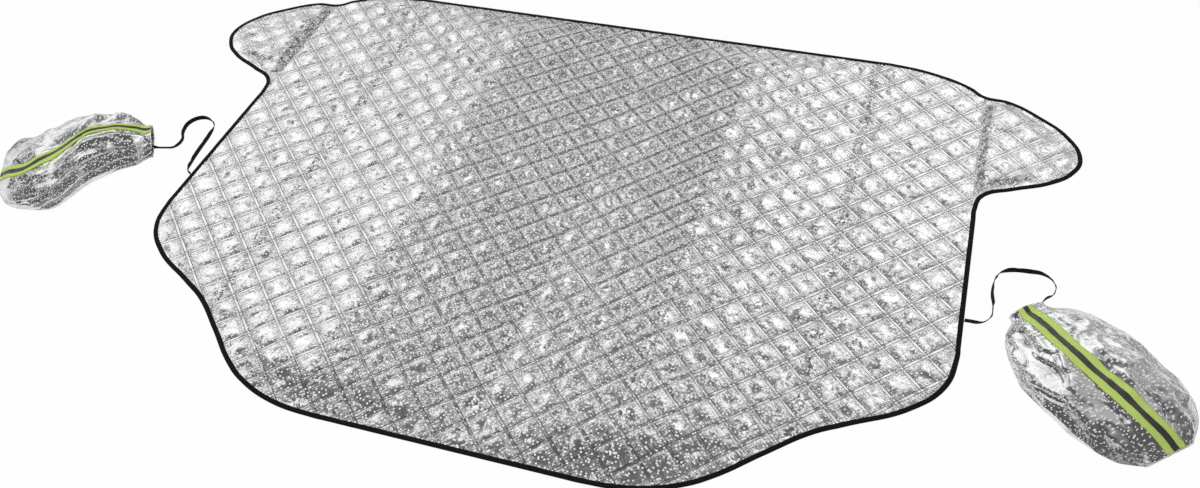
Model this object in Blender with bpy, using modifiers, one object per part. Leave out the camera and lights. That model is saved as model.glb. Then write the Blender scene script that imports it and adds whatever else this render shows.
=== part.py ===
# Windshield frost cover, lying flat on the ground: a quilted foil panel with a sewn-on door
# flap at each side, one binding round the whole edge, and two mirror pouches on flat straps.
# Metres, +Z up. The origin is on the ground under the middle of the panel, +X runs to the
# right-hand flap and +Y to the roof edge of the panel.

import math

import bmesh
import bpy
from mathutils import Vector

# Outline of the panel, over the binding
panel_width = 1.474
panel_depth = 1.156
shoulder_run = 0.200          # how far in from the side the roof edge starts to fall
shoulder_drop = 0.067         # how far it has fallen where the flap begins
corner_rise = 0.386           # height above the bonnet edge where the side turns in
waist_in = 0.198              # how far in from the side the hollow beside the tongue lies
waist_rise = 0.178            # height of that hollow above the bonnet edge
tongue_half_width = 0.222     # half of the straight stretch of the bonnet edge
straight_end = 0.025          # last stretch of a straight run, before the curve begins

# Door flaps
flap_reach = 0.179            # how far a flap stands out past the panel's side
flap_length = 0.345           # along the seam

# Quilting
stitch_pitch = 0.050          # between one twin row of stitches and the next
stitch_gauge = 0.005          # between the two rows of one twin row
stitched_thickness = 0.0024   # of the sheet where it is stitched down
pillow_rise = 0.0042          # how far a cell's middle stands above the stitching
pillow_fade = 0.022           # distance from an edge over which the cells go flat
panel_shift = (-0.007, 0.022)  # first rows from the origin, across each of the two directions
flap_shift = (0.012, 0.031)

# Binding tape, folded round the edge
binding_width = 0.0085
binding_cloth = 0.0005
binding_height = 0.0030
edge_thickness = 0.0014       # of the sheet's pressed edge inside the fold
clearance = 0.0003            # between sewn pieces
seam_allowance = 0.005        # flat stretch of sheet beside the flap's seam

# Pouch, along its own length from the mouth to the seamed end
pouch_length = 0.318
pouch_half_width = 0.110
pouch_height = 0.045
pouch_film = 0.0018
mouth_half_width = 0.036
mouth_height = 0.024
hem_length = 0.010
end_half_width = 0.038
end_thickness = 0.004
gather_depth = 0.13           # how deep the gathers at the mouth are, as a share of the height
gather_length = 0.260         # over which they die out

# Bright band along the pouch and the dark reflective stripe on it
band_width = 0.036
band_cloth = 0.0006
stripe_width = 0.011
stripe_cloth = 0.0004

# Flat elastic straps, standing on their long edge
strap_width = 0.008
strap_thickness = 0.0012
strap_start_y = -0.110        # where both leave the panel's side
strap_lead = 0.003            # straight stretch where a strap is sewn on
strap_steps = 2               # points between one point of a route and the next

# How each pouch lies: where its mouth is, which way it points, how its middle line wanders from
# the mouth to the end, how far its top leans over beside that, how wide its film is spread as a
# share of the usual, and the share of its length that it covers, bunched up
right_mouth = (0.8300, -0.0703)
right_heading = math.radians(-47.4)
right_bend = (0.009, 0.005, 0.002, 0.003, 0.006, -0.002)
right_lean = (-0.014, -0.018, -0.018, -0.013, -0.009, 0.020)
right_spread = (1.0, 1.13, 1.15, 1.0, 1.0, 1.05)
right_bunching = 0.984
left_mouth = (-0.8560, -0.0590)
left_heading = math.radians(-149.0)
left_bend = (0.001, -0.008, -0.007, 0.015, 0.010, -0.026)
left_lean = (-0.036, -0.036, -0.029, 0.005, 0.028, 0.028)
left_spread = (1.0, 0.90, 0.99, 1.21, 1.09, 1.47)
left_bunching = 0.93
right_strap_beside = 0.021    # where the strap meets the hem, from the hem's middle
left_strap_beside = -0.001

# Chosen by hand along each strap, between its two ends
right_strap_route = ((0.763, -0.107), (0.778, -0.088), (0.780, -0.068), (0.775, -0.036),
                     (0.778, -0.006), (0.784, 0.014), (0.802, 0.024), (0.832, 0.029),
                     (0.862, 0.028), (0.877, 0.011), (0.874, -0.012), (0.862, -0.027))
left_strap_route = ((-0.748, -0.104), (-0.753, -0.083), (-0.760, -0.030), (-0.764, 0.006),
                    (-0.773, 0.034), (-0.790, 0.050), (-0.812, 0.049), (-0.826, 0.032),
                    (-0.824, 0.004), (-0.811, -0.024), (-0.816, -0.046), (-0.834, -0.053))

outline_tolerance = 0.0012      # how far the outline may stray from its curves
overcut = 0.02                # how far a cutter stands past what it cuts
half_width = panel_width / 2
half_depth = panel_depth / 2
seam_x = half_width - binding_width
seam_top = half_depth - shoulder_drop
seam_foot = seam_top - flap_length


def clear_scene():
    for thing in list(bpy.data.objects):
        bpy.data.objects.remove(thing, do_unlink=True)


def new_collection(name):
    collection = bpy.data.collections.new(name)
    bpy.context.scene.collection.children.link(collection)
    return collection


def new_material(name, colour, roughness, metallic):
    material = bpy.data.materials.new(name)
    material.use_nodes = True
    shader = material.node_tree.nodes["Principled BSDF"]
    shader.inputs["Base Color"].default_value = (*colour, 1)
    shader.inputs["Roughness"].default_value = roughness
    shader.inputs["Metallic"].default_value = metallic
    material.diffuse_color = (*colour, 1)
    return material


def new_object(name, mesh, collection, material=None):
    thing = bpy.data.objects.new(name, mesh)
    collection.objects.link(thing)
    if material:
        mesh.materials.append(material)
    return thing


def mesh_from(bm, name):
    bmesh.ops.recalc_face_normals(bm, faces=bm.faces)
    mesh = bpy.data.meshes.new(name)
    bm.to_mesh(mesh)
    bm.free()
    mesh.shade_smooth()
    mesh.set_sharp_from_angle(angle=math.radians(30))
    return mesh


def mesh_of_curve(curve):
    # evaluates a curve through a passing object and gives its mesh
    holder = bpy.data.objects.new("holder", curve)
    bpy.context.scene.collection.objects.link(holder)
    bpy.context.view_layer.update()
    evaluated = holder.evaluated_get(bpy.context.evaluated_depsgraph_get())
    mesh = bpy.data.meshes.new_from_object(evaluated)
    bpy.data.objects.remove(holder, do_unlink=True)
    bpy.data.curves.remove(curve)
    return mesh


def smooth_line(points, closed, steps):
    # a smooth curve through the points, as a list of points
    curve = bpy.data.curves.new("line", "CURVE")
    curve.dimensions = "2D"
    curve.fill_mode = "NONE"
    curve.resolution_u = steps
    spline = curve.splines.new("BEZIER")
    spline.bezier_points.add(len(points) - 1)
    spline.use_cyclic_u = closed
    for knot, point in zip(spline.bezier_points, points):
        knot.co = (*point, 0)
        knot.handle_left_type = "AUTO"
        knot.handle_right_type = "AUTO"
    mesh = mesh_of_curve(curve)
    line = [vertex.co.copy() for vertex in mesh.vertices]
    bpy.data.meshes.remove(mesh)
    return line


def thin_out(line):
    # drops the points that lie close to the straight line between those that stay
    start, run = line[0], line[-1] - line[0]
    far = max(range(len(line)), key=lambda index: (line[index] - start).cross(run).length)
    if (line[far] - start).cross(run).length < outline_tolerance * run.length:
        return [line[0], line[-1]]
    return thin_out(line[:far + 1])[:-1] + thin_out(line[far:])


def inset_loop(loop, distance):
    # the loop runs clockwise, and each point moves inwards along the bisector at it
    moved = []
    for index, point in enumerate(loop):
        before = (point - loop[index - 1]).normalized()
        after = (loop[(index + 1) % len(loop)] - point).normalized()
        inward = Vector((before.y + after.y, -before.x - after.x, 0)).normalized()
        stretch = 1 / max(inward.dot(Vector((before.y, -before.x, 0))), 0.5)
        moved.append(point + inward * distance * stretch)
    return moved


def cover_outline():
    # the right-hand half from the roof edge to the bonnet edge, then its mirror image; a second
    # point near the end of each straight run keeps it straight
    tongue_in = half_width - tongue_half_width
    points = [(half_width - shoulder_run - straight_end, half_depth)]
    for inward, down in ((1, 0), (0.52, 0.24), (0.185, 0.67), (0.05, 1)):
        points.append((half_width - inward * shoulder_run, half_depth - down * shoulder_drop))
    for out, down in ((0.22, 0.02), (0.56, 0.125), (0.855, 0.265), (1, 0.45), (0.915, 0.59),
                      (0.70, 0.70), (0.335, 0.80), (0.060, 0.885), (0, 1)):
        points.append((half_width + out * flap_reach, seam_top - down * flap_length))
    points.append((half_width, seam_foot - straight_end))
    points.append((half_width, corner_rise - half_depth + straight_end))
    for inward, up in ((0, 1), (0.07, 0.68), (0.31, 0.405), (0.77, 0.135)):
        rise = waist_rise + up * (corner_rise - waist_rise)
        points.append((half_width - inward * waist_in, rise - half_depth))
    for inward, up in ((0, 1), (0.20, 0.68), (0.39, 0.36), (0.52, 0.20), (0.75, 0.045), (1, 0)):
        across = waist_in + inward * (tongue_in - waist_in)
        points.append((half_width - across, up * waist_rise - half_depth))
    points.append((tongue_half_width - straight_end, -half_depth))
    points += [(-x, y) for x, y in reversed(points)]
    loop = smooth_line(points, True, 6)
    half = len(loop) // 2
    return thin_out(loop[:half + 1])[:-1] + thin_out(loop[half:] + loop[:1])[:-1]


def plate(name, loop, low, high, collection):
    # a flat plate between two heights, from a filled curve
    curve = bpy.data.curves.new(name, "CURVE")
    curve.dimensions = "2D"
    curve.fill_mode = "BOTH"
    curve.extrude = (high - low) / 2
    spline = curve.splines.new("POLY")
    spline.points.add(len(loop) - 1)
    spline.use_cyclic_u = True
    for knot, point in zip(spline.points, loop):
        knot.co = (point.x, point.y, 0, 1)
    bm = bmesh.new()
    bm.from_mesh(mesh_of_curve(curve))
    bmesh.ops.remove_doubles(bm, verts=bm.verts, dist=0.00001)
    bmesh.ops.dissolve_limit(bm, angle_limit=0.001, verts=bm.verts, edges=bm.edges)
    bmesh.ops.translate(bm, verts=bm.verts, vec=(0, 0, (high + low) / 2))
    return new_object(name, mesh_from(bm, name), collection)


def block(name, low, high, collection):
    bm = bmesh.new()
    bmesh.ops.create_cube(bm, size=1)
    low, high = Vector(low), Vector(high)
    bmesh.ops.scale(bm, vec=high - low, verts=bm.verts)
    bmesh.ops.translate(bm, vec=(high + low) / 2, verts=bm.verts)
    return new_object(name, mesh_from(bm, name), collection)


def hide(cutter):
    cutter.hide_render = True
    cutter.display_type = "WIRE"


def combine(target, other, operation):
    modifier = target.modifiers.new(operation.lower() + "_" + other.name, "BOOLEAN")
    modifier.operation = operation
    modifier.object = other
    hide(other)


def distance_to_loop(point, loop):
    nearest = math.inf
    for index, start in enumerate(loop):
        run = loop[(index + 1) % len(loop)] - start
        along = min(max((point - start).dot(run) / run.length_squared, 0), 1)
        nearest = min(nearest, (start + along * run - point).length)
    return nearest


def distance_to_edge(point, edge):
    # to the binding, or to the flap's seam where that is nearer
    on_ground = Vector((point.x, point.y, 0))
    to_seam = abs(seam_x - abs(point.x)) - seam_allowance if point.y > seam_foot else math.inf
    return max(min(distance_to_loop(on_ground, edge), to_seam), 0)


def quilt(name, centre, reach, shift, edge, collection):
    # a slab with a square pillow in each cell of a grid that stands on its corner, and a flat
    # channel under each twin row of stitches
    rows = 2 * math.ceil(reach / stitch_pitch)
    lines = 2 * rows
    bm = bmesh.new()
    bmesh.ops.create_grid(bm, x_segments=lines - 1, y_segments=lines - 1, size=1)
    place = {}
    for vertex in bm.verts:
        place[vertex] = [round((value + 1) / 2 * (lines - 1)) for value in vertex.co.xy]
    cells = []
    for face in bm.faces:
        corner = [min(place[vertex][axis] for vertex in face.verts) for axis in (0, 1)]
        if corner[0] % 2 and corner[1] % 2:
            cells.append(face)
    for vertex, where in place.items():
        for axis in (0, 1):
            side = stitch_gauge / 2 if where[axis] % 2 else -stitch_gauge / 2
            row = where[axis] // 2 - rows // 2
            vertex.co[axis] = row * stitch_pitch + side + shift[axis]
        vertex.co.z = stitched_thickness
    tops = bmesh.ops.poke(bm, faces=cells)["verts"]
    bmesh.ops.rotate(bm, verts=bm.verts, matrix=Vector((1, 1, 0)).to_track_quat("X", "Z").to_matrix())
    bmesh.ops.translate(bm, verts=bm.verts, vec=(*centre, 0))
    for vertex in tops:
        share = min(distance_to_edge(vertex.co, edge) / pillow_fade, 1)
        vertex.co.z = stitched_thickness + pillow_rise * share
    rim = [edge_ for edge_ in bm.edges if edge_.is_boundary]
    walls = bmesh.ops.extrude_edge_only(bm, edges=rim)["geom"]
    for vertex in walls:
        if isinstance(vertex, bmesh.types.BMVert):
            vertex.co.z = 0
    bmesh.ops.contextual_create(bm, geom=[item for item in walls if isinstance(item, bmesh.types.BMEdge)])
    return new_object(name, mesh_from(bm, name), collection)


def quilted_panel(outline, parts, cutters, material):
    panel = quilt("quilted_panel", (0, 0), (half_width + half_depth) / math.sqrt(2), panel_shift,
                  panel_edge(outline), parts)
    panel.data.materials.append(material)
    edge = pressed_edge("panel_edge", outline, cutters)
    combine(panel, body_of_sheet("panel_body", outline, cutters), "INTERSECT")
    for side, mirror in (("right", 1), ("left", -1)):
        combine(panel, flap_space(side + "_body_space", mirror, -seam_allowance, cutters), "DIFFERENCE")
        combine(edge, flap_space(side + "_edge_space", mirror, -clearance / 2, cutters), "DIFFERENCE")
    combine(panel, edge, "UNION")


def quilted_flap(side, mirror, outline, parts, cutters, material):
    middle = (mirror * (half_width + flap_reach / 2), seam_top - flap_length / 2)
    flap = quilt(side + "_flap", middle, (flap_reach + flap_length) / 2, flap_shift,
                 panel_edge(outline), parts)
    flap.data.materials.append(material)
    edge = pressed_edge(side + "_flap_edge", outline, cutters)
    combine(flap, body_of_sheet(side + "_flap_body", outline, cutters), "INTERSECT")
    combine(flap, flap_space(side + "_flap_body_space", mirror, seam_allowance, cutters), "INTERSECT")
    combine(edge, flap_space(side + "_flap_edge_space", mirror, clearance / 2, cutters), "INTERSECT")
    combine(flap, edge, "UNION")


def panel_edge(outline):
    return inset_loop(outline, binding_width)


def body_of_sheet(name, outline, cutters):
    # all that lies inside the binding's lips
    return plate(name, inset_loop(outline, binding_width + clearance), -overcut, overcut, cutters)


def pressed_edge(name, outline, cutters):
    # the sheet pressed thin, which runs on into the binding's fold
    low = (binding_height - edge_thickness) / 2
    loop = inset_loop(outline, binding_cloth + clearance)
    return plate(name, loop, low, low + edge_thickness, cutters)


def flap_space(name, mirror, inset, cutters):
    # the box that holds all beyond the seam, from a little past the seam and its lower end
    near, far = seam_x + inset, half_width + flap_reach + overcut
    low_x, high_x = (near, far) if mirror > 0 else (-far, -near)
    low_y = seam_foot + inset
    return block(name, (low_x, low_y, -2 * overcut), (high_x, half_depth, 2 * overcut), cutters)


def edge_binding(outline, parts, cutters, material):
    # one tape folded round the whole edge, open towards the sheet
    tape = plate("edge_binding", outline, 0, binding_height, parts)
    tape.data.materials.append(material)
    hole = plate("binding_hole", inset_loop(outline, binding_width), -overcut, overcut, cutters)
    fold = plate("binding_fold", inset_loop(outline, binding_cloth),
                 binding_cloth, binding_height - binding_cloth, cutters)
    combine(tape, hole, "DIFFERENCE")
    combine(tape, fold, "DIFFERENCE")


def ribbon(name, line, collection, material):
    # a flat strap standing on its long edge along a line on the ground
    bm = bmesh.new()
    low = [bm.verts.new((point.x, point.y, 0)) for point in line]
    edges = [bm.edges.new(pair) for pair in zip(low, low[1:])]
    upper = bmesh.ops.extrude_edge_only(bm, edges=edges)["geom"]
    rising = [item for item in upper if isinstance(item, bmesh.types.BMVert)]
    bmesh.ops.translate(bm, verts=rising, vec=(0, 0, strap_width))
    strap = new_object(name, mesh_from(bm, name), collection, material)
    solid = strap.modifiers.new("thickness", "SOLIDIFY")
    solid.thickness = strap_thickness
    solid.offset = 0
    solid.use_even_offset = True


def strap(side, mirror, route, beside, lie, parts, material):
    # from the binding to a place on the pouch's hem, square to both at its ends
    out = Vector((mirror, 0, 0))
    ahead = Vector((math.cos(lie["heading"]), math.sin(lie["heading"]), 0))
    across = Vector((-ahead.y, ahead.x, 0))
    start = Vector((mirror * half_width, strap_start_y, 0)) + out * clearance
    end = Vector((*lie["mouth"], 0)) + across * (lie["bend"][0] + beside) - ahead * clearance
    knots = [(start + out * strap_lead).xy, *route, (end - ahead * strap_lead).xy]
    line = [start] + smooth_line(knots, False, strap_steps) + [end]
    ribbon(side + "_strap", line, parts, material)


def value_at(along, values):
    # between values that are evenly spread from the mouth to the end
    spot = max(along, 0) / pouch_length * (len(values) - 1)
    low = min(int(spot), len(values) - 2)
    return values[low] + (values[low + 1] - values[low]) * (spot - low)


def stations(spread):
    # distance from the mouth, half width and height of the pouch, with a hem drawn in behind
    full = pouch_length - hem_length
    rows = [(0, mouth_half_width, mouth_height),
            (hem_length * 0.7, mouth_half_width, mouth_height),
            (hem_length, mouth_half_width * 0.92, mouth_height * 0.86)]
    for along, wide, high in ((0.08, 0.59, 0.68), (0.20, 0.72, 0.88), (0.37, 0.87, 1.0),
                              (0.54, 0.97, 1.0), (0.69, 1.0, 0.92), (0.82, 0.90, 0.72),
                              (0.92, 0.71, 0.45), (0.975, 0.48, 0.20)):
        rows.append((hem_length + along * full, wide * pouch_half_width, high * pouch_height))
    rows.append((pouch_length, end_half_width, end_thickness))
    return [(along, wide * value_at(along, spread), high) for along, wide, high in rows]


def pouch_section(along, wide, high, shrink):
    # half of the section, from the ground up to the edge of the band, gathered near the mouth
    fold = gather_depth * max(0, 1 - along / gather_length) if along > hem_length else 0
    wide, middle, high = wide - shrink, high / 2, high / 2 - shrink
    half = []
    for number, (out, up) in enumerate(((0.80, -1), (0.96, -0.72), (1, -0.35), (0.96, 0.05),
                                        (0.86, 0.40), (0.70, 0.68), (0.48, 0.88))):
        pucker = 1 + fold * (-1) ** number
        half.append((out * wide * (1 + (pucker - 1) / 2), middle + max(up * high * pucker, -high)))
    half.append((min(band_width / 2 + clearance, 0.40 * wide), middle + high))
    return half


def loft(name, rings, collection, material=None):
    # joins closed rings of equal count into one skin and closes both ends
    bm = bmesh.new()
    rows = [[bm.verts.new(point) for point in ring] for ring in rings]
    for row, following in zip(rows, rows[1:]):
        for index in range(len(row)):
            after = (index + 1) % len(row)
            bm.faces.new((row[index], row[after], following[after], following[index]))
    bm.faces.new(rows[0])
    bm.faces.new(reversed(rows[-1]))
    return new_object(name, mesh_from(bm, name), collection, material)


def lay(thing, lie):
    thing.location = (*lie["mouth"], 0)
    thing.rotation_euler = (0, 0, lie["heading"])


def place_ring(along, high, section, lie):
    # sets a section in its place on the bent, leaning and bunched pouch
    middle, lean = value_at(along, lie["bend"]), value_at(along, lie["lean"])
    return [(along * lie["bunching"], middle + y + lean * z / high, z) for y, z in section]


def pouch_rings(rows, lie, shrink):
    rings = []
    for along, wide, high in rows:
        half = pouch_section(along, wide, high, shrink)
        section = half + [(-y, z) for y, z in reversed(half)]
        rings.append(place_ring(along, high, section, lie))
    return rings


def pouch(side, lie, parts, cutters, material):
    # a film sack, drawn in at the mouth and sewn flat at the far end
    sack = loft(side + "_pouch", pouch_rings(stations(lie["spread"]), lie, 0), parts, material)
    inner = stations(lie["spread"])[:-1]
    inner[0] = (-hem_length, mouth_half_width, mouth_height)
    hollow = loft(side + "_pouch_hollow", pouch_rings(inner, lie, pouch_film), cutters)
    for thing in (sack, hollow):
        lay(thing, lie)
    combine(sack, hollow, "DIFFERENCE")


def pouch_strip(name, width, cloth, lift, lie, parts, material):
    # a flat tape that follows the top of the pouch from the mouth to the seamed end
    rings = []
    for along, wide, high in stations(lie["spread"]):
        half = min(width / 2, 0.40 * wide * width / band_width)
        low = high + lift
        section = ((half, low), (half, low + cloth), (-half, low + cloth), (-half, low))
        rings.append(place_ring(along, high, section, lie))
    lay(loft(name, rings, parts, material), lie)


def build():
    clear_scene()
    parts = new_collection("windshield_frost_cover")
    cutters = new_collection("cutters")
    foil = new_material("quilted_foil", (0.72, 0.72, 0.72), 0.30, 0.9)
    film = new_material("pouch_film", (0.62, 0.62, 0.63), 0.25, 0.9)
    tape = new_material("black_tape", (0.02, 0.02, 0.02), 0.75, 0.0)
    bright = new_material("bright_band", (0.60, 0.80, 0.10), 0.55, 0.0)
    grey = new_material("grey_stripe", (0.07, 0.07, 0.065), 0.45, 0.2)
    outline = cover_outline()
    quilted_panel(outline, parts, cutters, foil)
    edge_binding(outline, parts, cutters, tape)
    left_lie = {"mouth": left_mouth, "heading": left_heading, "bend": left_bend,
                "lean": left_lean, "spread": left_spread, "bunching": left_bunching}
    right_lie = {"mouth": right_mouth, "heading": right_heading, "bend": right_bend,
                 "lean": right_lean, "spread": right_spread, "bunching": right_bunching}
    for side, mirror, lie, route, beside in (
            ("left", -1, left_lie, left_strap_route, left_strap_beside),
            ("right", 1, right_lie, right_strap_route, right_strap_beside)):
        quilted_flap(side, mirror, outline, parts, cutters, foil)
        strap(side, mirror, route, beside, lie, parts, tape)
        pouch(side, lie, parts, cutters, film)
        pouch_strip(side + "_pouch_band", band_width, band_cloth, clearance, lie, parts, bright)
        pouch_strip(side + "_pouch_stripe", stripe_width, stripe_cloth,
                    2 * clearance + band_cloth, lie, parts, grey)


build()
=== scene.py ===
import math

import bmesh
import bpy
import numpy as np
from mathutils import Matrix, Vector, noise
from mathutils.bvhtree import BVHTree
from mathutils.kdtree import KDTree


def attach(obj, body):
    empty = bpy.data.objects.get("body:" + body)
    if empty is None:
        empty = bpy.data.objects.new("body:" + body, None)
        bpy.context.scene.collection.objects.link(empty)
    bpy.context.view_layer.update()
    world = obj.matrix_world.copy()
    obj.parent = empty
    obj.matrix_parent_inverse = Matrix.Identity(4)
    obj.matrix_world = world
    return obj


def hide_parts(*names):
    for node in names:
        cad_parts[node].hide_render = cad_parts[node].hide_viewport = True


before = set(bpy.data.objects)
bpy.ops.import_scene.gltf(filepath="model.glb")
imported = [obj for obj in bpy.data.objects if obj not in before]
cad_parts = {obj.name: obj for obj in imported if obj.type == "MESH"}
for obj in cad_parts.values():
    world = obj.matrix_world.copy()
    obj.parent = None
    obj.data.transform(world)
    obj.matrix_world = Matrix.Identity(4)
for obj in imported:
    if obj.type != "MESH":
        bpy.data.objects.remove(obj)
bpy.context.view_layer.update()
print("packed frame loaded")

# Camera at the photograph's place and angle
view = {
    "place": (0.595, -1.432, 1.415),
    "heading": (-0.3449, 0.9387),
    "down": 44.70,            # degrees below level
    "roll": -3.80,
    "lens": 33.57,
    "sensor": 36.0,
}


def addCamera():
    down, roll = math.radians(view["down"]), math.radians(view["roll"])
    headX, headY = view["heading"]
    forward = Vector((headX * math.cos(down), headY * math.cos(down), -math.sin(down)))
    right = Vector((headY, -headX, 0))
    up = right.cross(forward)
    camX = right * math.cos(roll) + up * math.sin(roll)
    camY = up * math.cos(roll) - right * math.sin(roll)
    data = bpy.data.cameras.new("camera")
    data.lens = view["lens"]
    data.sensor_width = view["sensor"]
    data.sensor_fit = "HORIZONTAL"
    camera = bpy.data.objects.new("camera", data)
    turn = Matrix((camX, camY, -forward)).transposed().to_4x4()
    camera.matrix_world = Matrix.Translation(view["place"]) @ turn
    bpy.context.scene.collection.objects.link(camera)
    bpy.context.scene.camera = camera


# Small tools for meshes, lines and nodes

def addObject(name, mesh):
    thing = bpy.data.objects.new(name, mesh)
    bpy.context.scene.collection.objects.link(thing)
    return thing


def meshFrom(name, points, faces):
    mesh = bpy.data.meshes.new(name)
    mesh.from_pydata([tuple(point) for point in points], [], [tuple(face) for face in faces])
    mesh.shade_smooth()
    return mesh


def applyModifiers(thing):
    evaluated = thing.evaluated_get(bpy.context.evaluated_depsgraph_get())
    mesh = bpy.data.meshes.new_from_object(evaluated)
    thing.modifiers.clear()
    thing.data = mesh


def smoothLine(points, closed, steps):
    # a curve through the points with automatic handles, as an array of points
    curve = bpy.data.curves.new("line", "CURVE")
    curve.dimensions = "2D"
    curve.fill_mode = "NONE"
    curve.resolution_u = steps
    spline = curve.splines.new("BEZIER")
    spline.bezier_points.add(len(points) - 1)
    spline.use_cyclic_u = closed
    for knot, point in zip(spline.bezier_points, points):
        knot.co = (*point, 0)
        knot.handle_left_type = "AUTO"
        knot.handle_right_type = "AUTO"
    holder = addObject("line", curve)
    bpy.context.view_layer.update()
    shown = holder.evaluated_get(bpy.context.evaluated_depsgraph_get())
    mesh = bpy.data.meshes.new_from_object(shown)
    line = np.array([vertex.co[:2] for vertex in mesh.vertices])
    bpy.data.objects.remove(holder, do_unlink=True)
    bpy.data.curves.remove(curve)
    bpy.data.meshes.remove(mesh)
    return line


def evenLine(line, spacing, closed):
    # the same line with points at an even distance
    if closed:
        line = np.vstack((line, line[:1]))
    steps = np.linalg.norm(np.diff(line, axis=0), axis=1)
    length = np.concatenate(([0], np.cumsum(steps)))
    count = max(int(round(length[-1] / spacing)), 2)
    places = np.linspace(0, length[-1], count + 1)
    if closed:
        places = places[:-1]
    columns = [np.interp(places, length, line[:, axis]) for axis in range(line.shape[1])]
    return np.column_stack(columns)


def leftOf(line, closed):
    # unit normals to the left of a line in the ground plane
    if closed:
        run = np.roll(line, -1, axis=0) - np.roll(line, 1, axis=0)
    else:
        run = np.gradient(line, axis=0)
    run = run[:, :2] / np.linalg.norm(run[:, :2], axis=1)[:, None]
    return np.column_stack((-run[:, 1], run[:, 0]))


def ease(value, low, high):
    share = np.clip((value - low) / (high - low), 0, 1)
    return share * share * (3 - 2 * share)


def unevenness(points, size, seed, octaves=3):
    # soft random values about 0, with lumps of that size
    shift = Vector((seed * 7.31, seed * 3.17, seed * 1.93))
    return np.array([noise.fractal(Vector(point) / size + shift, 0.8, 2.1, octaves)
                     for point in points])


def creases(points, size, seed, octaves=3):
    # 0 to about 1, high along sharp wandering lines
    shift = Vector((seed * 5.77, seed * 2.41, seed * 8.13))
    values = []
    for point in points:
        place = Vector(point) / size + shift
        value = sum((1 - abs(noise.noise(place * 2 ** number)) * 2.4) / 2 ** number
                    for number in range(octaves))
        values.append(value / 1.75)
    return np.array(values)


def addNode(tree, kind, inputs=None, **settings):
    node = tree.nodes.new(kind)
    for key, value in settings.items():
        setattr(node, key, value)
    for key, value in (inputs or {}).items():
        if isinstance(value, bpy.types.NodeSocket):
            tree.links.new(value, node.inputs[key])
        else:
            node.inputs[key].default_value = value
    return node


def calc(tree, operation, *values, clamp=False):
    node = tree.nodes.new("ShaderNodeMath")
    node.operation = operation
    node.use_clamp = clamp
    for number, value in enumerate(values):
        if isinstance(value, bpy.types.NodeSocket):
            tree.links.new(value, node.inputs[number])
        else:
            node.inputs[number].default_value = value
    return node.outputs[0]


def waves(tree, value, count):
    # a sine with that many waves as the value grows by 1
    return calc(tree, "SINE", calc(tree, "MULTIPLY", value, 2 * math.pi * count))


def between(tree, value, low, high, start=0.0, end=1.0):
    # start up to low, end from high on, smooth between
    node = addNode(tree, "ShaderNodeMapRange", {"Value": value, "From Min": low, "From Max": high,
                                                "To Min": start, "To Max": end},
                   interpolation_type="SMOOTHSTEP")
    return node.outputs["Result"]


def addBump(tree, height, distance, strength=1.0, before=None):
    inputs = {"Height": height, "Distance": distance, "Strength": strength}
    if before:
        inputs["Normal"] = before
    return addNode(tree, "ShaderNodeBump", inputs).outputs["Normal"]


def newMaterial(name, colour, roughness, metallic=0.0):
    material = bpy.data.materials.new(name)
    material.use_nodes = True
    tree = material.node_tree
    shader = tree.nodes["Principled BSDF"]
    shader.inputs["Base Color"].default_value = (*colour, 1)
    shader.inputs["Roughness"].default_value = roughness
    shader.inputs["Metallic"].default_value = metallic
    return material, tree, shader


def dress(thing, material, slot, *nodes):
    thing.data.materials.clear()
    thing.data.materials.append(material)
    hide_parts(*nodes)
    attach(thing, "root")


# Floor, lamps and world

studio = {
    "floorSize": 40.0,
    "floorWhite": 0.86,
    "floorFlat": 0.96,        # share of plain white that the camera sees in place of shading
    # how bright the parts of the world are, which the foil mirrors
    "worldLeft": 1.30,        # the far left, in the left third of the foil
    "worldGap": 0.07,         # the far middle
    "worldRight": 1.50,       # the far right
    "worldSide": 0.30,        # share of that further round, in the right pouch
    "worldFront": 0.08,       # behind the camera and overhead
    "worldRim": 0.90,         # all round, just above the floor
    # where these parts begin and end, along each axis of a direction of length 1
    "farY": (0.20, 0.50),
    "farLowZ": (0.24, 0.42),
    "farHighZ": (0.74, 0.90),
    "leftX": (-0.45, -0.31),
    "rightX": (-0.16, -0.05),
    "sideX": (0.15, 0.25),
    "rimZ": (0.10, 0.22),
    "lamps": (                # name, place, aim, width, height and watts
        ("leftBackBox", (-2.30, 2.15, 1.90), (-0.55, 0.10, 0.0), 2.0, 1.6, 16),
        ("rightBackBox", (1.75, 2.35, 2.05), (0.55, 0.00, 0.0), 1.4, 1.4, 10),
        ("frontTopBox", (-0.30, -1.60, 3.00), (0.0, 0.0, 0.0), 2.6, 1.6, 75),
    ),
}


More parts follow.
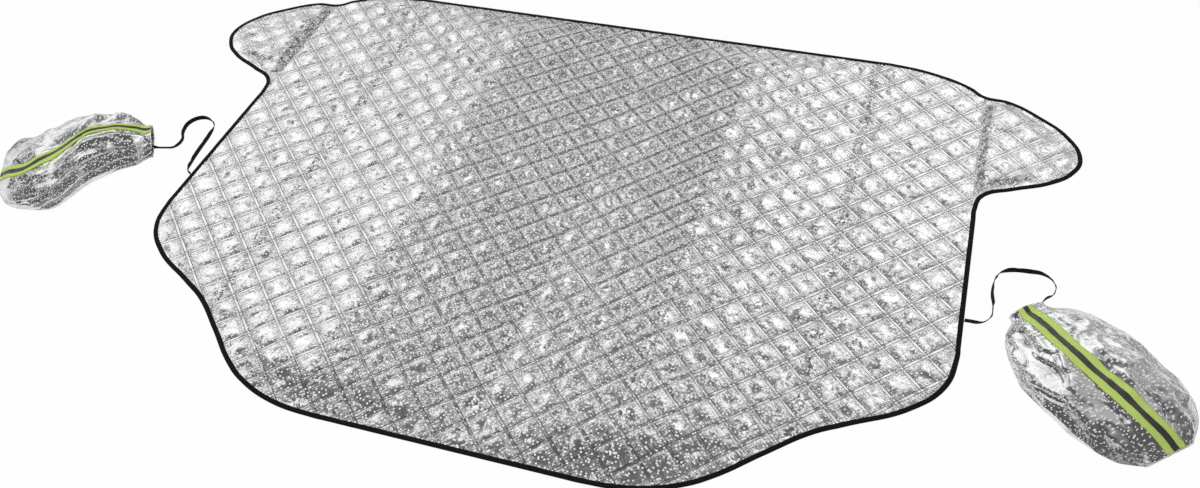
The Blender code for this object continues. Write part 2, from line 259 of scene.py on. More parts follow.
def addStudio():
    bm = bmesh.new()
    bmesh.ops.create_grid(bm, x_segments=1, y_segments=1, size=studio["floorSize"] / 2)
    mesh = bpy.data.meshes.new("floor")
    bm.to_mesh(mesh)
    bm.free()
    floor = addObject("floor", mesh)
    floor.location.z = -0.0004
    material, tree, shader = newMaterial("floorWhite", [studio["floorWhite"]] * 3, 0.9)
    path = addNode(tree, "ShaderNodeLightPath")
    seen = calc(tree, "MAXIMUM", path.outputs["Is Camera Ray"], path.outputs["Is Glossy Ray"])
    seen = calc(tree, "MAXIMUM", seen, path.outputs["Is Transmission Ray"])
    flat = addNode(tree, "ShaderNodeEmission", {"Color": (1, 1, 1, 1), "Strength": 1.0})
    share = calc(tree, "MULTIPLY", seen, studio["floorFlat"])
    mix = addNode(tree, "ShaderNodeMixShader",
                  {0: share, 1: shader.outputs[0], 2: flat.outputs[0]})
    tree.links.new(mix.outputs[0], tree.nodes["Material Output"].inputs["Surface"])
    floor.data.materials.append(material)
    for name, place, aim, width, height, watts in studio["lamps"]:
        lamp = bpy.data.lights.new(name, "AREA")
        lamp.shape = "RECTANGLE"
        lamp.size, lamp.size_y, lamp.energy = width, height, watts
        box = addObject(name, lamp)
        box.location = place
        box.visible_glossy = False    # the foil mirrors only the world
        box.rotation_euler = (Vector(aim) - Vector(place)).to_track_quat("-Z", "Y").to_euler()
    world = bpy.data.worlds.new("world")
    world.use_nodes = True
    tree = world.node_tree
    way = addNode(tree, "ShaderNodeSeparateXYZ",
                  {"Vector": addNode(tree, "ShaderNodeTexCoord").outputs["Generated"]})
    far = between(tree, way.outputs["Y"], *studio["farY"])
    belt = calc(tree, "MULTIPLY", between(tree, way.outputs["Z"], *studio["farHighZ"], 1, 0),
                between(tree, way.outputs["Z"], *studio["farLowZ"]))
    share = calc(tree, "MULTIPLY", far, belt)
    left = between(tree, way.outputs["X"], *studio["leftX"], 1, 0)
    right = calc(tree, "MULTIPLY", between(tree, way.outputs["X"], *studio["rightX"]),
                 between(tree, way.outputs["X"], *studio["sideX"], 1, studio["worldSide"]))
    gap, front = studio["worldGap"], studio["worldFront"]
    tone = calc(tree, "MULTIPLY_ADD", left, studio["worldLeft"] - gap, gap)
    tone = calc(tree, "MULTIPLY_ADD", right, studio["worldRight"] - gap, tone)
    tone = calc(tree, "MULTIPLY_ADD", calc(tree, "SUBTRACT", tone, front), share, front)
    rim = between(tree, way.outputs["Z"], *studio["rimZ"], 1, 0)
    tone = calc(tree, "MULTIPLY_ADD", calc(tree, "SUBTRACT", studio["worldRim"], tone), rim, tone)
    tree.links.new(tone, tree.nodes["Background"].inputs["Color"])
    bpy.context.scene.world = world
    bpy.context.scene.view_settings.view_transform = "Standard"


addCamera()
addStudio()
print("camera and studio ready")

# Flat elastic straps, standing on their long edge

elastic = {
    "width": 0.008,
    "thickness": 0.0012,
    "colour": (0.006, 0.006, 0.006),
    "cords": 9,               # lengthwise cords across its width
    "picks": 900,             # weft threads in a metre
    "lean": 24.0,             # degrees that it leans over here and there
    "leanRun": 0.06,          # how far apart these places are
    "gap": 0.0003,            # to the binding and to the hem of the pouch
    "spacing": 0.0025,
    "startY": -0.110,
    "right": {
        "route": ((0.763, -0.107), (0.778, -0.088), (0.780, -0.068), (0.775, -0.036),
                  (0.778, -0.006), (0.784, 0.014), (0.802, 0.024), (0.832, 0.029),
                  (0.862, 0.028), (0.877, 0.011), (0.874, -0.012), (0.862, -0.027)),
        "beside": 0.021, "length": 0.336, "seed": 3,
    },
    "left": {
        "route": ((-0.748, -0.104), (-0.753, -0.083), (-0.760, -0.030), (-0.764, 0.006),
                  (-0.773, 0.034), (-0.790, 0.050), (-0.812, 0.049), (-0.826, 0.032),
                  (-0.824, 0.004), (-0.811, -0.024), (-0.816, -0.046), (-0.834, -0.053)),
        "beside": -0.001, "length": 0.345, "seed": 5,
    },
}
pouch = {
    "length": 0.318, "halfWidth": 0.110, "height": 0.045,
    "mouthHalf": 0.036, "mouthHeight": 0.024, "hem": 0.010,
    "endHalf": 0.038, "endHeight": 0.004,
    "along": (0.08, 0.20, 0.37, 0.54, 0.69, 0.82, 0.92, 0.975),
    "wide": (0.59, 0.72, 0.87, 0.97, 1.0, 0.90, 0.71, 0.48),
    "high": (0.68, 0.88, 1.0, 1.0, 0.92, 0.72, 0.45, 0.20),
    "section": ((0.80, -1), (0.96, -0.72), (1, -0.35), (0.96, 0.05), (0.86, 0.40), (0.70, 0.68),
                (0.48, 0.88), (0.17, 1)),
    "film": 0.0008,
    # from the mouth to the end: the middle line, how far the top leans over, how wide the film is
    # and how much of the band shows, as the film folds over the rest of it
    "right": {"mouth": (0.8300, -0.0703), "heading": -47.4, "seed": 11, "bunching": 0.984,
              "bend": (0.009, 0.005, 0.002, 0.003, 0.006, -0.002),
              "lean": (-0.014, -0.018, -0.018, -0.013, -0.009, 0.020),
              "spread": (1.0, 1.13, 1.15, 1.0, 1.0, 1.05),
              "shown": (1, 1, 1, 1, 1, 1)},
    "left": {"mouth": (-0.8560, -0.0590), "heading": -149.0, "seed": 23, "bunching": 0.93,
             "bend": (0.001, -0.008, -0.007, 0.015, 0.010, -0.026),
             "lean": (-0.036, -0.036, -0.029, 0.005, 0.028, 0.028),
             "spread": (1.0, 0.90, 0.99, 1.21, 1.09, 1.47),
             "shown": (0.6, 0.42, 0.5, 0.95, 1, 1)},
}
panel = {"width": 1.474, "depth": 1.156}


def elasticMaterial():
    material, tree, shader = newMaterial("blackElastic", elastic["colour"], 0.75)
    shader.inputs["Specular IOR Level"].default_value = 0.2
    uv = addNode(tree, "ShaderNodeUVMap", uv_map="tape").outputs["UV"]
    parts = addNode(tree, "ShaderNodeSeparateXYZ", {"Vector": uv})
    rib = waves(tree, parts.outputs["Y"], elastic["cords"])
    pick = waves(tree, parts.outputs["X"], elastic["picks"])
    weave = calc(tree, "MULTIPLY_ADD", pick, 0.4, rib)
    tree.links.new(addBump(tree, weave, 0.00012), shader.inputs["Normal"])
    return material


def addStrap(side, mirror, material):
    facts, spot = elastic[side], pouch[side]
    heading = math.radians(spot["heading"])
    ahead = np.array((math.cos(heading), math.sin(heading)))
    start = np.array((mirror * panel["width"] / 2, elastic["startY"]))
    beside = spot["bend"][0] + facts["beside"]
    end = np.array(spot["mouth"]) + np.array((-ahead[1], ahead[0])) * beside
    out = np.array((mirror, 0.0))
    knots = [start + out * 0.003, *facts["route"], end - ahead * 0.003]
    line = np.vstack((start + out * elastic["gap"], smoothLine(knots, False, 8),
                      end - ahead * elastic["gap"]))
    line = evenLine(line, elastic["spacing"], False)
    normal = leftOf(line, False)
    lean = unevenness([(*point, 0) for point in line], elastic["leanRun"], facts["seed"]) * 3
    fade = ease(np.arange(len(line)), 0, 6) * ease(np.arange(len(line))[::-1], 0, 6)
    tilt = np.radians(elastic["lean"]) * np.clip(lean, -1, 1) * fade
    half = elastic["thickness"] / 2
    section = ((-half, 0.0004), (-half * 0.6, 0), (half * 0.6, 0), (half, 0.0004),
               (half, elastic["width"] - 0.0004), (half * 0.6, elastic["width"]),
               (-half * 0.6, elastic["width"]), (-half, elastic["width"] - 0.0004))
    points, faces = [], []
    for place, side2, angle in zip(line, normal, tilt):
        for across, up in section:
            wide = across * math.cos(angle) + up * math.sin(angle)
            tall = up * math.cos(angle) + abs(across * math.sin(angle))
            points.append((place[0] + side2[0] * wide, place[1] + side2[1] * wide, max(tall, 0)))
    around = len(section)
    for row in range(len(line) - 1):
        for spoke in range(around):
            after = (spoke + 1) % around
            faces.append((row * around + spoke, row * around + after,
                          (row + 1) * around + after, (row + 1) * around + spoke))
    faces.append(tuple(range(around))[::-1])
    faces.append(tuple((len(line) - 1) * around + spoke for spoke in range(around)))
    mesh = meshFrom(side + "Elastic", points, faces)
    layer = mesh.uv_layers.new(name="tape")
    for loop in mesh.loops:
        row, spoke = divmod(loop.vertex_index, around)
        layer.data[loop.index].uv = (row * elastic["spacing"], section[spoke][1] / elastic["width"])
    strap = addObject(side + "Elastic", mesh)
    dress(strap, material, "black_elastic", side + "_strap")
    return strap


blackElastic = elasticMaterial()
addStrap("right", 1, blackElastic)
addStrap("left", -1, blackElastic)
print("straps ready")

# Outline of the whole cover, which the binding follows

outline = {
    "shoulderRun": 0.200, "shoulderDrop": 0.067,
    "cornerRise": 0.386, "waistIn": 0.198, "waistRise": 0.178,
    "tongueHalf": 0.222, "straightEnd": 0.025,
    "flapReach": 0.179, "flapLength": 0.345,
    "shoulder": ((1, 0), (0.52, 0.24), (0.185, 0.67), (0.05, 1)),
    "flap": ((0.22, 0.02), (0.56, 0.125), (0.855, 0.265), (1, 0.45), (0.915, 0.59),
             (0.70, 0.70), (0.335, 0.80), (0.060, 0.885), (0, 1)),
    "corner": ((0, 1), (0.07, 0.68), (0.31, 0.405), (0.77, 0.135)),
    "waist": ((0, 1), (0.20, 0.68), (0.39, 0.36), (0.52, 0.20), (0.75, 0.045), (1, 0)),
    "spacing": 0.0025,
}
halfWidth, halfDepth = panel["width"] / 2, panel["depth"] / 2
seamTop = halfDepth - outline["shoulderDrop"]
seamFoot = seamTop - outline["flapLength"]


def coverOutline():
    facts, end = outline, outline["straightEnd"]
    points = [(halfWidth - facts["shoulderRun"] - end, halfDepth)]
    for inward, down in facts["shoulder"]:
        points.append((halfWidth - inward * facts["shoulderRun"],
                       halfDepth - down * facts["shoulderDrop"]))
    for out, down in facts["flap"]:
        points.append((halfWidth + out * facts["flapReach"],
                       seamTop - down * facts["flapLength"]))
    points.append((halfWidth, seamFoot - end))
    points.append((halfWidth, facts["cornerRise"] - halfDepth + end))
    for inward, up in facts["corner"]:
        rise = facts["waistRise"] + up * (facts["cornerRise"] - facts["waistRise"])
        points.append((halfWidth - inward * facts["waistIn"], rise - halfDepth))
    for inward, up in facts["waist"]:
        across = facts["waistIn"] + inward * (halfWidth - facts["tongueHalf"] - facts["waistIn"])
        points.append((halfWidth - across, up * facts["waistRise"] - halfDepth))
    points.append((facts["tongueHalf"] - end, -halfDepth))
    points += [(-x, y) for x, y in reversed(points)]
    return evenLine(smoothLine(points, True, 16), facts["spacing"], True)


edge = coverOutline()
edgeInward = -leftOf(edge, True)
edgeTree = KDTree(len(edge))
for number, place in enumerate(edge):
    edgeTree.insert((*place, 0), number)
edgeTree.balance()


def insideEdge(places):
    # distance inside the outline, and the way in from the nearest point of it
    nearest = [edgeTree.find((*place, 0))[1] for place in places]
    inward = edgeInward[nearest]
    return ((places - edge[nearest]) * inward).sum(axis=1), inward


# Binding tape, folded round the edge

binding = {
    "width": 0.0085,
    "colour": (0.006, 0.006, 0.006),
    "ribs": 1100,             # weft threads in a metre
    "warps": 1400,            # warp threads in a metre
    "stitchIn": 0.0068,       # the row of stitches, from the outer edge
    "stitchLength": 0.0035,
    "waviness": 0.0005,       # of its inner edge
    "waveRun": 0.035,
    "swell": 0.12,            # how much its height varies
    "swellRun": 0.020,
    # inset from the outer edge and height, in millimetres, round the folded tape
    "section": ((8.5, 2.9), (8.2, 3.0), (5.5, 3.05), (2.8, 3.0), (1.2, 2.85), (0.35, 2.3),
                (0, 1.5), (0.35, 0.7), (1.2, 0.15), (2.8, 0), (8.2, 0), (8.5, 0.5), (1.4, 0.5),
                (0.8, 1.5), (1.4, 2.5), (8.5, 2.5)),
}


def tapeMaterial():
    material, tree, shader = newMaterial("blackTape", binding["colour"], 0.62)
    shader.inputs["Specular IOR Level"].default_value = 0.15
    uv = addNode(tree, "ShaderNodeUVMap", uv_map="tape").outputs["UV"]
    parts = addNode(tree, "ShaderNodeSeparateXYZ", {"Vector": uv})
    weave = calc(tree, "MULTIPLY", waves(tree, parts.outputs["X"], binding["ribs"]),
                 waves(tree, parts.outputs["Y"], binding["warps"]))
    offRow = calc(tree, "ABSOLUTE", calc(tree, "SUBTRACT", parts.outputs["Y"], binding["stitchIn"]))
    stitch = between(tree, offRow, 0.0003, 0.0009, 1, 0)
    beat = waves(tree, parts.outputs["X"], 1 / binding["stitchLength"])
    dent = calc(tree, "MULTIPLY", stitch, calc(tree, "MULTIPLY_ADD", beat, 0.5, -0.8))
    place = addNode(tree, "ShaderNodeTexCoord").outputs["Object"]
    rumple = addNode(tree, "ShaderNodeTexNoise", {"Vector": place, "Scale": 90.0, "Detail": 2.0})
    normal = addBump(tree, weave, 0.00006)
    normal = addBump(tree, dent, 0.0005, before=normal)
    normal = addBump(tree, rumple.outputs["Fac"], 0.0012, before=normal)
    tree.links.new(normal, shader.inputs["Normal"])
    return material


def addBinding(material):
    flat = [(*place, 0) for place in edge]
    wave = unevenness(flat, binding["waveRun"], 7) * binding["waviness"]
    swell = 1 + unevenness(flat, binding["swellRun"], 9) * binding["swell"]
    section = np.array(binding["section"]) / 1000
    points, faces = [], []
    for place, inward, shift, high in zip(edge, edgeInward, wave, swell):
        for inset, up in section:
            reach = inset + shift * (inset / binding["width"])
            points.append((*(place + inward * reach), up * high if up > 0.0006 else up))
    around, rows = len(section), len(edge)
    for row in range(rows):
        following = (row + 1) % rows
        for spoke in range(around):
            after = (spoke + 1) % around
            faces.append((row * around + after, row * around + spoke,
                          following * around + spoke, following * around + after))
    mesh = meshFrom("edgeTape", points, faces)
    layer = mesh.uv_layers.new(name="tape")
    for face in mesh.polygons:
        last = face.index // around == rows - 1
        for loop in face.loop_indices:
            row, spoke = divmod(mesh.loops[loop].vertex_index, around)
            row = rows if last and row == 0 else row
            layer.data[loop].uv = (row * outline["spacing"], section[spoke][0])
    tape = addObject("edgeTape", mesh)
    dress(tape, material, "black_tape", "edge_binding")
    return tape


addBinding(tapeMaterial())
print("binding ready")

# Quilted foil: the panel and its two flaps

quilt = {
    "pitch": 0.050,           # between twin rows of stitches
    "gauge": 0.005,           # between the two rows of a pair
    "steps": (-2.5, 0, 2.5, 5.2, 8.6, 13, 18.6, 25, 31.4, 37, 41.4, 44.8),   # mm within a pitch
    "stitched": 0.0024,
    "pillow": 0.0019,
    "cellHeights": (0.55, 1.25),     # share of that, cell by cell
    "ridge": 0.0001,          # between the two rows
    "groove": 0.0003,         # under each row of stitches
    "grooveHalf": 0.0022,     # half its width
    "lumps": 0.0032,          # unevenness of the filling
    "lumpSize": 0.022,
    "fade": 0.018,            # how far from the binding the pillows reach their height
    "pressed": 0.0021,        # height of the sheet inside the binding
    "edgeIn": 0.0012,         # how far in from the outer edge the sheet ends
    "foldLines": (-0.504, -0.252, 0.027, 0.253, 0.508),
    "foldLift": 0.012,
    "foldRun": (0.01, 0.09),  # how far inside the edge the folds begin to rise
    "seamGap": 0.0002,
    "flapSwell": 0.0035,      # of a flap beside its seam
    "wrinkleSize": 0.12,      # of the flaps' wrinkles
    "margin": 0.02,           # outside the outline, where the grid is still worked out
    "back": 0.0009,           # height of the plain back
}
sheets = {
    # place of the rows, height of the pillows, of the wrinkles and width of the strip at the seam
    "panel": {"shift": (-0.007, 0.022), "rise": 1.0, "seed": 1},
    "left": {"shift": (0.012, 0.031), "rise": 0.12, "wrinkle": 0.0060, "strip": 0.024, "seed": 2},
    "right": {"shift": (0.012, 0.031), "rise": 0.5, "wrinkle": 0.0025, "strip": 0.016, "seed": 4},
}
seamX = halfWidth - binding["width"]


def rowSteps(reach, shift):
    # the places of the grid's lines across the rows, close together at the stitches
    count = math.ceil(reach / quilt["pitch"])
    return np.array([row * quilt["pitch"] + step / 1000 + shift
                     for row in range(-count - 1, count + 1) for step in quilt["steps"]])


def acrossRows(place, shift):
    # distance from the nearest twin row, and which cell it is
    share = (place - shift) / quilt["pitch"]
    return np.abs(share - np.round(share)) * quilt["pitch"], np.floor(share).astype(int)


def pillowShape(away):
    half = quilt["gauge"] / 2
    share = np.clip((away - half) / (quilt["pitch"] / 2 - half), 0, 1)
    return 1 - (1 - share) ** 2


def foldWave(x):
    lines = quilt["foldLines"]
    marks = [lines[0] - 0.25, *lines, lines[-1] + 0.25]
    return np.interp(x, marks, [0, 0, 1, 0, 1, 0, 0])


def addSheet(key, name, node, material):
    facts = sheets[key]
    mirror = {"panel": 0, "left": -1, "right": 1}[key]
    if mirror:
        reach = (outline["flapReach"] + outline["flapLength"]) / 2
        centre = (mirror * (halfWidth + outline["flapReach"] / 2),
                  seamTop - outline["flapLength"] / 2)
    else:
        reach = (halfWidth + halfDepth) / math.sqrt(2)
        centre = (0.0, 0.0)
    alongU, alongV = rowSteps(reach, facts["shift"][0]), rowSteps(reach, facts["shift"][1])
    u, v = [grid.ravel() for grid in np.meshgrid(alongU, alongV)]
    turn = math.sqrt(0.5)
    places = np.column_stack((turn * (u - v) + centre[0], turn * (u + v) + centre[1]))
    margin = quilt["margin"]
    near = np.abs(places[:, 0]) < halfWidth + outline["flapReach"] + margin
    near &= np.abs(places[:, 1]) < halfDepth + margin
    if mirror:
        near &= (places[:, 0] * mirror > seamX - margin) & (places[:, 1] > seamFoot - margin)
    inside, inward = np.full(len(places), -1.0), np.zeros_like(places)
    inside[near], inward[near] = insideEdge(places[near])
    good = inside > quilt["edgeIn"]
    fix = near & ~good
    places[fix] += inward[fix] * (quilt["edgeIn"] - inside[fix])[:, None]
    if mirror:
        out = (mirror * places[:, 0] - seamX < quilt["seamGap"]) | (places[:, 1] < seamFoot)
        good &= ~out
        places[:, 0] = mirror * np.maximum(mirror * places[:, 0], seamX + quilt["seamGap"])
        places[:, 1] = np.maximum(places[:, 1], seamFoot)
    else:
        beyond = np.abs(places[:, 0]) - seamX
        out = (beyond > -quilt["seamGap"]) & (places[:, 1] > seamFoot)
        good &= ~out
        places[out, 0] = np.sign(places[out, 0]) * (seamX - quilt["seamGap"])
    # height of the foil above the ground
    awayU, cellU = acrossRows(u, facts["shift"][0])
    awayV, cellV = acrossRows(v, facts["shift"][1])
    dice = np.random.RandomState(facts["seed"]).uniform(*quilt["cellHeights"], (200, 200))
    uneven = dice[cellU % 200, cellV % 200]
    flat = np.column_stack((places, np.zeros(len(places))))
    lumps = np.zeros(len(places))
    lumps[near] = unevenness(flat[near], quilt["lumpSize"], facts["seed"], 2)
    toSeam = np.where(places[:, 1] > seamFoot, np.abs(np.abs(places[:, 0]) - seamX), 1.0)
    offSeam = toSeam - facts["strip"] if mirror else toSeam * 1.6
    fade = ease(np.minimum(inside - binding["width"], offSeam), 0, quilt["fade"])
    shape = pillowShape(awayU) * pillowShape(awayV)
    height = quilt["stitched"] + facts["rise"] * quilt["pillow"] * shape * uneven * fade
    height += shape * fade * lumps * quilt["lumps"]
    half = quilt["gauge"] / 2
    for away in (awayU, awayV):
        depth = fade * min(facts["rise"] * 1.4, 1)
        height += depth * quilt["ridge"] * ease(half - away, 0, half)
        wide = quilt["grooveHalf"]
        height -= depth * quilt["groove"] * ease(wide - np.abs(away - half), 0, wide)
    pressedIn = ease(inside, binding["width"] - 0.0010, binding["width"] + 0.0060)
    pressedIn = np.minimum(pressedIn, ease(toSeam, 0, 0.004))
    height = quilt["pressed"] + (height - quilt["pressed"]) * pressedIn
    if mirror:
        strip = ease(toSeam, 0, facts["strip"]) * (1 - ease(toSeam, 0.05, 0.15))
        height += strip * quilt["flapSwell"] * ease(inside, 0.01, 0.04)
        stretched = flat * (1, 3.2, 1)
        long = np.zeros(len(places))
        long[near] = creases(stretched[near], quilt["wrinkleSize"], facts["seed"], 2)
        height += long * facts["wrinkle"] * ease(inside, 0.012, 0.04) * ease(toSeam, 0.0, 0.03)
    else:
        lift = foldWave(places[:, 0]) * quilt["foldLift"]
        height += lift * ease(inside, *quilt["foldRun"])
    # faces of the grid that lie inside, then a plain back
    wide = len(alongU)
    corner = np.arange(len(alongV) - 1)[:, None] * wide + np.arange(wide - 1)[None, :]
    corner = corner.ravel()
    faces = np.column_stack((corner, corner + 1, corner + wide + 1, corner + wide))
    faces = faces[good[faces].any(axis=1) & near[faces].all(axis=1)]
    used, index = np.unique(faces, return_inverse=True)
    faces = index.reshape(faces.shape)
    mesh = meshFrom(name, np.column_stack((places[used], height[used])), faces)
    layer = mesh.uv_layers.new(name="quilt")
    shares = np.column_stack((u - facts["shift"][0], v - facts["shift"][1]))[used] / quilt["pitch"]
    corners = np.zeros(len(mesh.loops), dtype=np.int32)
    mesh.loops.foreach_get("vertex_index", corners)
    layer.data.foreach_set("uv", shares[corners].ravel())
    bm = bmesh.new()
    bm.from_mesh(mesh)
    rim = [item for item in bm.edges if item.is_boundary]
    wall = bmesh.ops.extrude_edge_only(bm, edges=rim)["geom"]
    for vertex in wall:
        if isinstance(vertex, bmesh.types.BMVert):
            vertex.co.z = quilt["back"]
    foot = [item for item in wall if isinstance(item, bmesh.types.BMEdge)]
    bmesh.ops.contextual_create(bm, geom=foot)
    bmesh.ops.remove_doubles(bm, verts=bm.verts, dist=0.00002)
    bm.to_mesh(mesh)
    bm.free()
    sheet = addObject(name, mesh)
    dress(sheet, material, "quilted_foil", node)
    return sheet


foil = {
    "lightTone": 0.95,        # of the bare foil, which varies softly
    "darkTone": 0.86,
    "dotTone": 0.96,
    "dotSpacing": 0.0078,
    "dotSize": 0.21,          # radius as a share of the spacing
    "dotShare": 0.9,          # how many of them show
    "roughness": 0.22,
    "paintedGrooveShade": 0.62,       # painted shade where the thread pulls the foil down into a groove
    "paintedSeamShade": (("left", -1, 0.30), ("right", 1, 0.20)),    # how much painted shade darkens the strip beside a flap's seam
    "puckers": 0.0013,        # height of the lines that run out from the stitches
    "wideFacets": (0.013, 0.055),    # size and slope of the foil's facets
    "fineFacets": (0.0055, 0.085),
    "foldCrinkles": (0.020, 2.8),    # reach beside a packing fold, and how much stronger there
    "crinkle": 0.00003,       # height of the finest unevenness
    "paintedRowShade": 0.84,          # tone of the foil between two rows of stitches, darkened as painted shade
}


def facets(tree, vector, size, slope):
    # height of flat facets that each tilt their own way, as on crumpled foil
    cells = addNode(tree, "ShaderNodeTexVoronoi", {"Vector": vector, "Scale": 1 / size})
    way = addNode(tree, "ShaderNodeVectorMath", {0: cells.outputs["Color"], 1: (0.5, 0.5, 0.5)},
                  operation="SUBTRACT")
    off = addNode(tree, "ShaderNodeVectorMath", {0: vector, 1: cells.outputs["Position"]},
                  operation="SUBTRACT")
    tilt = addNode(tree, "ShaderNodeVectorMath", {0: way.outputs[0], 1: off.outputs[0]},
                   operation="DOT_PRODUCT")
    return calc(tree, "MULTIPLY", tilt.outputs["Value"], 2 * slope)


def warped(tree, vector, scale, amount):
    # the same places, pushed about softly
    warp = addNode(tree, "ShaderNodeTexNoise", {"Vector": vector, "Scale": scale, "Detail": 2.0})
    return addNode(tree, "ShaderNodeVectorMath",
                   {0: warp.outputs["Color"], 1: (amount, amount, amount), 2: vector},
                   operation="MULTIPLY_ADD").outputs[0]


def pinDots(tree, vector, spacing, size, share):
    # 1 inside small round dots that lie at random, 0 elsewhere
    cells = addNode(tree, "ShaderNodeTexVoronoi", {"Vector": vector, "Scale": 1 / spacing,
                                                   "Randomness": 0.9}, voronoi_dimensions="2D")
    chance = addNode(tree, "ShaderNodeSeparateXYZ", {"Vector": cells.outputs["Color"]}).outputs[0]
    there = calc(tree, "LESS_THAN", chance, share)
    dot = between(tree, cells.outputs["Distance"], size * 0.75, size * 1.2, 1, 0)
    return calc(tree, "MULTIPLY", dot, there)


def foilMaterial():
    colour = [foil["lightTone"]] * 3
    material, tree, shader = newMaterial("quiltedFoil", colour, foil["roughness"], 0.95)
    place = addNode(tree, "ShaderNodeTexCoord").outputs["Object"]
    dots = pinDots(tree, place, foil["dotSpacing"], foil["dotSize"], foil["dotShare"])
    mottle = addNode(tree, "ShaderNodeTexNoise", {"Vector": place, "Scale": 14.0, "Detail": 3.0})
    tone = between(tree, mottle.outputs["Fac"], 0.35, 0.65, foil["darkTone"], foil["lightTone"])
    # the flaps: fainter painted shade in the stitch grooves, and a strip of painted shade beside
    # the seam
    x = addNode(tree, "ShaderNodeSeparateXYZ", {"Vector": place}).outputs["X"]
    onLeft, onRight = calc(tree, "LESS_THAN", x, -seamX), calc(tree, "GREATER_THAN", x, seamX)
    strength = calc(tree, "MULTIPLY_ADD", onLeft, -0.75, 1.0)
    strength = calc(tree, "MULTIPLY_ADD", onRight, -0.4, strength)
    strip = None
    # a strip of painted shade beside each flap's seam, where the foil slopes down to it
    for side, turned, dark in foil["paintedSeamShade"]:
        past = calc(tree, "MULTIPLY_ADD", x, turned, -seamX)
        width = sheets[side]["strip"]
        part = calc(tree, "MULTIPLY", between(tree, past, 0.0, 0.0015, 0, dark),
                    between(tree, past, width - 0.004, width + 0.002, 1, 0))
        strip = part if strip is None else calc(tree, "ADD", strip, part)
    tone = calc(tree, "MULTIPLY", tone, calc(tree, "SUBTRACT", 1.0, strip))
    uv = addNode(tree, "ShaderNodeUVMap", uv_map="quilt").outputs["UV"]
    parts = addNode(tree, "ShaderNodeSeparateXYZ", {"Vector": uv})
    half = quilt["gauge"] / quilt["pitch"] / 2
    puckers, clear, grooves = None, None, None
    for own, squeeze in (("X", (3.0, 17.0, 1.0)), ("Y", (17.0, 3.0, 1.0))):
        away = calc(tree, "ABSOLUTE", calc(tree, "SUBTRACT", calc(tree, "FRACT", calc(
            tree, "ADD", parts.outputs[own], 0.5)), 0.5))
        groove = calc(tree, "ABSOLUTE", calc(tree, "SUBTRACT", away, half))
        groove = between(tree, groove, 0.002, 0.016, 1, 0)
        grooves = groove if grooves is None else calc(tree, "MAXIMUM", grooves, groove)
        row = between(tree, away, half - 0.01, half + 0.015)
        clear = row if clear is None else calc(tree, "MULTIPLY", clear, row)
        near = calc(tree, "MULTIPLY", between(tree, away, 0.10, 0.40, 1, 0.15), row)
        spread = addNode(tree, "ShaderNodeMapping", {"Vector": uv, "Scale": squeeze})
        lines = addNode(tree, "ShaderNodeTexNoise",
                        {"Vector": spread.outputs["Vector"], "Scale": 1.0, "Detail": 3.0,
                         "Distortion": 0.5})
        part = calc(tree, "MULTIPLY", lines.outputs["Fac"], near)
        puckers = part if puckers is None else calc(tree, "ADD", puckers, part)
    # painted shade in the stitch grooves, fainter on the flaps
    grooves = calc(tree, "MULTIPLY", grooves, strength)
    shade = calc(tree, "MULTIPLY_ADD", grooves, -foil["paintedGrooveShade"], 1.0)
    # painted shade on the strip between the two rows of each pair
    shade = calc(tree, "MULTIPLY", shade, calc(tree, "MULTIPLY_ADD", clear, 1 - foil["paintedRowShade"],
                                               foil["paintedRowShade"]))
    base = calc(tree, "MULTIPLY", tone, shade)
    dots = calc(tree, "MULTIPLY", dots, calc(tree, "SUBTRACT", 1.0, grooves))
    base = calc(tree, "MULTIPLY_ADD", calc(tree, "SUBTRACT", foil["dotTone"], base), dots, base)
    tree.links.new(base, shader.inputs["Base Color"])
    tree.links.new(calc(tree, "MULTIPLY_ADD", dots, -0.92, 0.95), shader.inputs["Metallic"])
    # crumpled foil: wide flat facets, fine ones in patches, and a little unevenness
    wide = facets(tree, warped(tree, place, 30.0, 0.02), *foil["wideFacets"])
    small = facets(tree, warped(tree, place, 60.0, 0.008), *foil["fineFacets"])
    patches = addNode(tree, "ShaderNodeTexNoise", {"Vector": place, "Scale": 28.0, "Detail": 2.0})
    reach, more = foil["foldCrinkles"]
    near = between(tree, patches.outputs["Fac"], 0.42, 0.62)
    for line in quilt["foldLines"]:
        off = calc(tree, "ABSOLUTE", calc(tree, "SUBTRACT", x, line))
        near = calc(tree, "ADD", near, between(tree, off, 0.0, reach, more, 0))
    small = calc(tree, "MULTIPLY", small, near)
    height = calc(tree, "MULTIPLY", calc(tree, "ADD", wide, small), clear)
    fine = addNode(tree, "ShaderNodeTexNoise", {"Vector": place, "Scale": 240.0, "Detail": 2.0})
    normal = addBump(tree, puckers, foil["puckers"])
    normal = addBump(tree, height, 1.0, before=normal)
    normal = addBump(tree, calc(tree, "MULTIPLY", fine.outputs["Fac"], clear), foil["crinkle"],
                     before=normal)
    tree.links.new(normal, shader.inputs["Normal"])
    return material


quiltedFoil = foilMaterial()
panelSheet = addSheet("panel", "foilPanel", "quilted_panel", quiltedFoil)
leftSheet = addSheet("left", "leftFoilFlap", "left_flap", quiltedFoil)
rightSheet = addSheet("right", "rightFoilFlap", "right_flap", quiltedFoil)
print("quilted sheets ready")

# Pouches: crumpled film sacks, drawn in at the mouth

